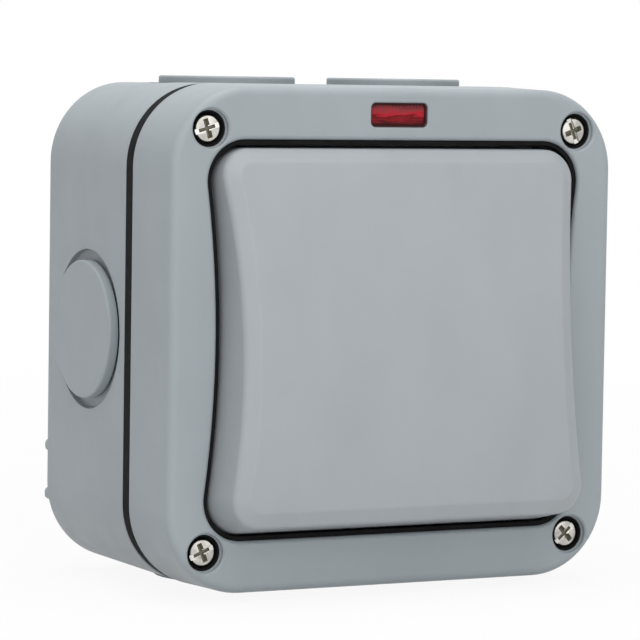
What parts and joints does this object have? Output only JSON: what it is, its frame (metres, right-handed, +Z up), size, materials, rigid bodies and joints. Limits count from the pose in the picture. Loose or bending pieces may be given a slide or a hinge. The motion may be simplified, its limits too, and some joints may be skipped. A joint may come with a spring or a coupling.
{
  "type": "outdoor rocker switch",
  "caption": "Surface-mounted weatherproof rocker switch: square grey box with rounded corners, gasketed cover, large waisted rocker, red indicator window and plugged cable entries.",
  "frame": {"origin": "centre of the four wall fixings, in the plane of the wall that the stand-offs touch", "axes": "+X to the right seen from the front, +Y into the wall, +Z up; the rocker faces -Y"},
  "size_m": [0.0986, 0.0679, 0.0986],
  "materials": {
    "housing_grey": "fine satin moulding",
    "rocker_grey": "fine satin moulding",
    "seal_rubber": "black elastomer",
    "boot_rubber": "soft black elastomer",
    "lens_red": "tinted clear plastic",
    "screw_nickel": "bright nickel plating",
    "brass": "turned brass",
    "mechanism_plastic": "thermoset moulding",
    "dolly_plastic": "smooth moulding",
    "spring_steel": "plain steel",
    "contact_silver": "silver facing",
    "lamp_glass": "clear glass",
    "lead_sleeve": "sleeved wire",
    "resistor_body": "lacquer"
  },
  "bodies": {
    "housing": {"back_box": "housing_grey", "front_cover": "housing_grey", "cover_gasket": "seal_rubber", "cover_screws": "screw_nickel", "cover_screw_seals": "seal_rubber", "pillar_inserts": "brass", "top_plug_left": "housing_grey", "top_plug_right": "housing_grey", "side_plug_left": "housing_grey", "side_plug_right": "housing_grey", "bottom_plug_left": "housing_grey", "bottom_plug_right": "housing_grey", "plug_seals": "seal_rubber", "rocker_seal": "seal_rubber", "indicator_lens": "lens_red", "rocker_boot": "boot_rubber", "mech_plate": "mechanism_plastic", "mech_body": "mechanism_plastic", "mech_screws": "screw_nickel", "mech_rivets": "spring_steel", "fixed_tips": "contact_silver", "line_feed_terminal": "brass", "line_load_terminal": "brass", "neutral_feed_terminal": "brass", "neutral_load_terminal": "brass", "terminal_screws": "screw_nickel", "earth_terminal": "brass", "earth_screw": "screw_nickel", "indicator_lamp": "lamp_glass", "indicator_leads": "lead_sleeve", "indicator_resistor": "resistor_body"},
    "rocker": {"rocker": "rocker_grey"},
    "dolly": {"dolly": "dolly_plastic", "line_spring": "spring_steel", "neutral_spring": "spring_steel"},
    "contact_blades": {"line_blade": "brass", "neutral_blade": "brass", "moving_tips": "contact_silver"},
    "line_plunger_body": {"line_plunger": "brass"},
    "neutral_plunger_body": {"neutral_plunger": "brass"}
  },
  "joints": [
    {"name": "rocker_tilt", "type": "hinge", "parent": "housing", "child": "rocker", "pos_m": [0, -0.0545, 0], "axis": [1, 0, 0], "range_deg": [0, 11.4]},
    {"name": "dolly_tilt", "type": "hinge", "parent": "housing", "child": "dolly", "pos_m": [0, -0.0402, 0], "axis": [1, 0, 0], "range_deg": [0, 11.4], "deforming": ["rocker_boot"]},
    {"name": "blade_rock", "type": "hinge", "parent": "housing", "child": "contact_blades", "pos_m": [0, -0.02935, 0], "axis": [1, 0, 0], "range_deg": [-11.4, 0]},
    {"name": "line_plunger_slide", "type": "slide", "parent": "dolly", "child": "line_plunger_body", "axis": [0, -0.9951, 0.0993], "range_m": [0, 0.0006], "stiffness_N_per_m": 400, "springref_m": -0.002, "deforming": ["line_spring"]},
    {"name": "neutral_plunger_slide", "type": "slide", "parent": "dolly", "child": "neutral_plunger_body", "axis": [0, -0.9951, 0.0993], "range_m": [0, 0.0006], "stiffness_N_per_m": 400, "springref_m": -0.002, "deforming": ["neutral_spring"]}
  ],
  "couplings": [
    {"joint": "dolly_tilt", "follows": "rocker_tilt", "ratio": 1},
    {"joint": "blade_rock", "follows": "rocker_tilt", "ratio": -1}
  ]
}
